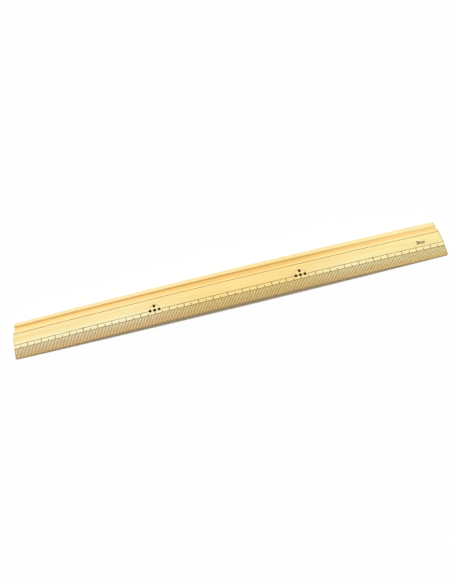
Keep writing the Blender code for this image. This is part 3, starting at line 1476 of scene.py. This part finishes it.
@dataclass
class Numerals:
    """The plain figures that say how long the scale is.

    How thick and how bold they are, and the distance at which their points merge, are in the font's own
    units.
    """

    strip: Strip
    words: tuple[Word, ...] = (
        Word("30", 281.6 * MM, 2.95 * MM, 2.3 * MM),
        Word("cm", 284.8 * MM, 2.7 * MM, 1.5 * MM),
    )
    above_line: float = 1.75 * MM
    proud: float = 0.012 * MM
    thick: float = 0.5
    bold: float = 0.028
    curve_steps: int = 4
    merge: float = 0.00001

    def word_shell(self, word: Word) -> bpy.types.Mesh:
        """Draw one run of figures, still flat and in the font's own units.

        Args:
            word: The run of figures.

        Returns:
            A closed mesh.
        """
        curve = bpy.data.curves.new("numeral_outline", "FONT")
        curve.body = word.text
        curve.extrude = self.thick
        curve.offset = self.bold
        curve.resolution_u = self.curve_steps
        holder = placed("numeral_outline", curve)
        mesh = evaluated(holder)
        bpy.data.objects.remove(holder, do_unlink=True)
        shell = bmesh.new()
        shell.from_mesh(mesh)
        bmesh.ops.remove_doubles(shell, verts=shell.verts, dist=self.merge)
        bmesh.ops.recalc_face_normals(shell, faces=shell.faces)
        shell.to_mesh(mesh)
        shell.free()
        return mesh

    def word_points(self, word: Word) -> tuple[np.ndarray, list[tuple[int, ...]]]:
        """Lay one run of figures on the crown.

        Args:
            word: The run of figures.

        Returns:
            Its points in the row frame, and its faces.
        """
        mesh = self.word_shell(word)
        points = np.array([vertex.co for vertex in mesh.vertices])
        low, high = points.min(axis=0), points.max(axis=0)
        unit = (points - low) / (high - low)
        x = word.start - self.strip.length / 2 + unit[:, 0] * word.width
        y = self.strip.shoulder + self.above_line + unit[:, 1] * word.height
        top = np.array([self.strip.top_height(value) for value in y])
        z = top + (unit[:, 2] * 2.0 - 1.0) * self.proud
        return self.strip.bent(np.stack([x, y, z], axis=1)), [tuple(face.vertices) for face in mesh.polygons]

    def build(self, finish: bpy.types.Material) -> bpy.types.Object:
        """Make the figures.

        Args:
            finish: The ink.

        Returns:
            The piece.
        """
        points: list[tuple[float, ...]] = []
        faces: list[tuple[int, ...]] = []
        for word in self.words:
            new_points, new_faces = self.word_points(word)
            faces += [tuple(index + len(points) for index in face) for face in new_faces]
            points += [tuple(point) for point in new_points]
        mesh = bpy.data.meshes.new("scale_numerals")
        mesh.from_pydata(points, [], faces)
        mesh.materials.append(finish)
        return placed("scale_numerals", mesh)


@dataclass(frozen=True)
class Studio:
    """White table, soft light from above and a little behind, and the camera, with angles in degrees."""

    focal_px: float = 260.0
    elevation: float = 71.574
    azimuth: float = 0.858
    roll: float = -14.466
    target: Triple = (-0.894 * MM, -0.923 * MM, 0.0)
    distance: float = 179.398 * MM
    nearest: float = 1.0 * MM
    farthest: float = 50.0
    floor_size: float = 6.0
    sun_strength: float = 3.14
    sun_colour: Colour = (0.762, 0.828, 0.925)
    sun_from_behind: float = 14.6
    sun_spread: float = 11.0
    sky: Colour = (0.275, 0.212, 0.119)

    def camera(self) -> None:
        """Stand the camera where the photograph was taken from."""
        up_angle, turn, roll = (math.radians(value) for value in (self.elevation, self.azimuth, self.roll))
        across, level = math.cos(up_angle), Vector((math.cos(turn), math.sin(turn), 0.0))
        back = Vector((math.sin(turn) * across, -math.cos(turn) * across, math.sin(up_angle)))
        upright = back.cross(level)
        right = level * math.cos(roll) + upright * math.sin(roll)
        up = upright * math.cos(roll) - level * math.sin(roll)
        data = bpy.data.cameras.new("photo_camera")
        data.sensor_fit = "AUTO"
        data.sensor_width = SENSOR_MM
        data.lens = self.focal_px / IMAGE_HEIGHT * SENSOR_MM
        data.clip_start = self.nearest
        data.clip_end = self.farthest
        camera = placed("photo_camera", data)
        pose = Matrix((right, up, back)).transposed().to_4x4()
        pose.translation = Vector(self.target) + back * self.distance
        camera.matrix_world = pose
        bpy.context.scene.camera = camera

    def floor(self) -> bpy.types.Object:
        """Lay the white table top.

        Returns:
            The table top.
        """
        half = self.floor_size / 2
        mesh = bpy.data.meshes.new("table_top")
        corners = [(-half, -half, 0.0), (half, -half, 0.0), (half, half, 0.0), (-half, half, 0.0)]
        mesh.from_pydata(corners, [], [(0, 1, 2, 3)])
        mesh.materials.append(BoardFinish().material())
        return placed("table_top", mesh)

    def lights(self) -> None:
        """Hang one broad lamp, under a warm sky that is white where it is seen."""
        data = bpy.data.lights.new("key_lamp", "SUN")
        data.energy = self.sun_strength
        data.color = self.sun_colour
        data.angle = math.radians(self.sun_spread)
        lamp = placed("key_lamp", data)
        lamp.rotation_euler = (-math.radians(self.sun_from_behind), 0.0, 0.0)
        world = bpy.data.worlds.new("studio_sky")
        bpy.context.scene.world = world
        world.use_nodes = True
        tree = Tree(world.node_tree)
        colour = tree.mix(tree.seen(), self.sky, WHITE)
        world.node_tree.links.new(colour.socket, world.node_tree.nodes["Background"].inputs["Color"])


def keep(piece: bpy.types.Object) -> None:
    """Let a piece ride on the ruler.

    Args:
        piece: The finished piece.
    """
    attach(piece, BODY)
    LOG.info("%s: %d faces", piece.name, len(piece.data.polygons))


def main() -> None:
    """Build the ruler's looks around the frame."""
    logging.basicConfig(level=logging.INFO, format="%(name)s: %(message)s")
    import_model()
    low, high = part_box(NODE)
    strip = Strip.from_frame(Vector(low), Vector(high), SCALE_LENGTH)
    scale = Scale(strip)
    dots = Dots(strip)
    studio = Studio()
    studio.camera()
    studio.lights()
    studio.floor()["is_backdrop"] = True

    body = RulerStrip(strip, scale, dots).build(BambooFinish(strip).material())
    keep(body)
    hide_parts(NODE)
    tick, line, dot, printed = (ink.value.material() for ink in Ink)
    filling = ScaleInk(strip, scale, dots)
    pieces = [filling.ticks(tick), filling.lines(line), filling.seats(dot)]
    pieces += [ClusterArcs(strip, dots).build(printed), Numerals(strip).build(printed)]
    for piece in pieces:
        keep(piece)

    bpy.context.scene.view_settings.view_transform = "Standard"
    low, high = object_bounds()


if __name__ == "__main__":
    main()
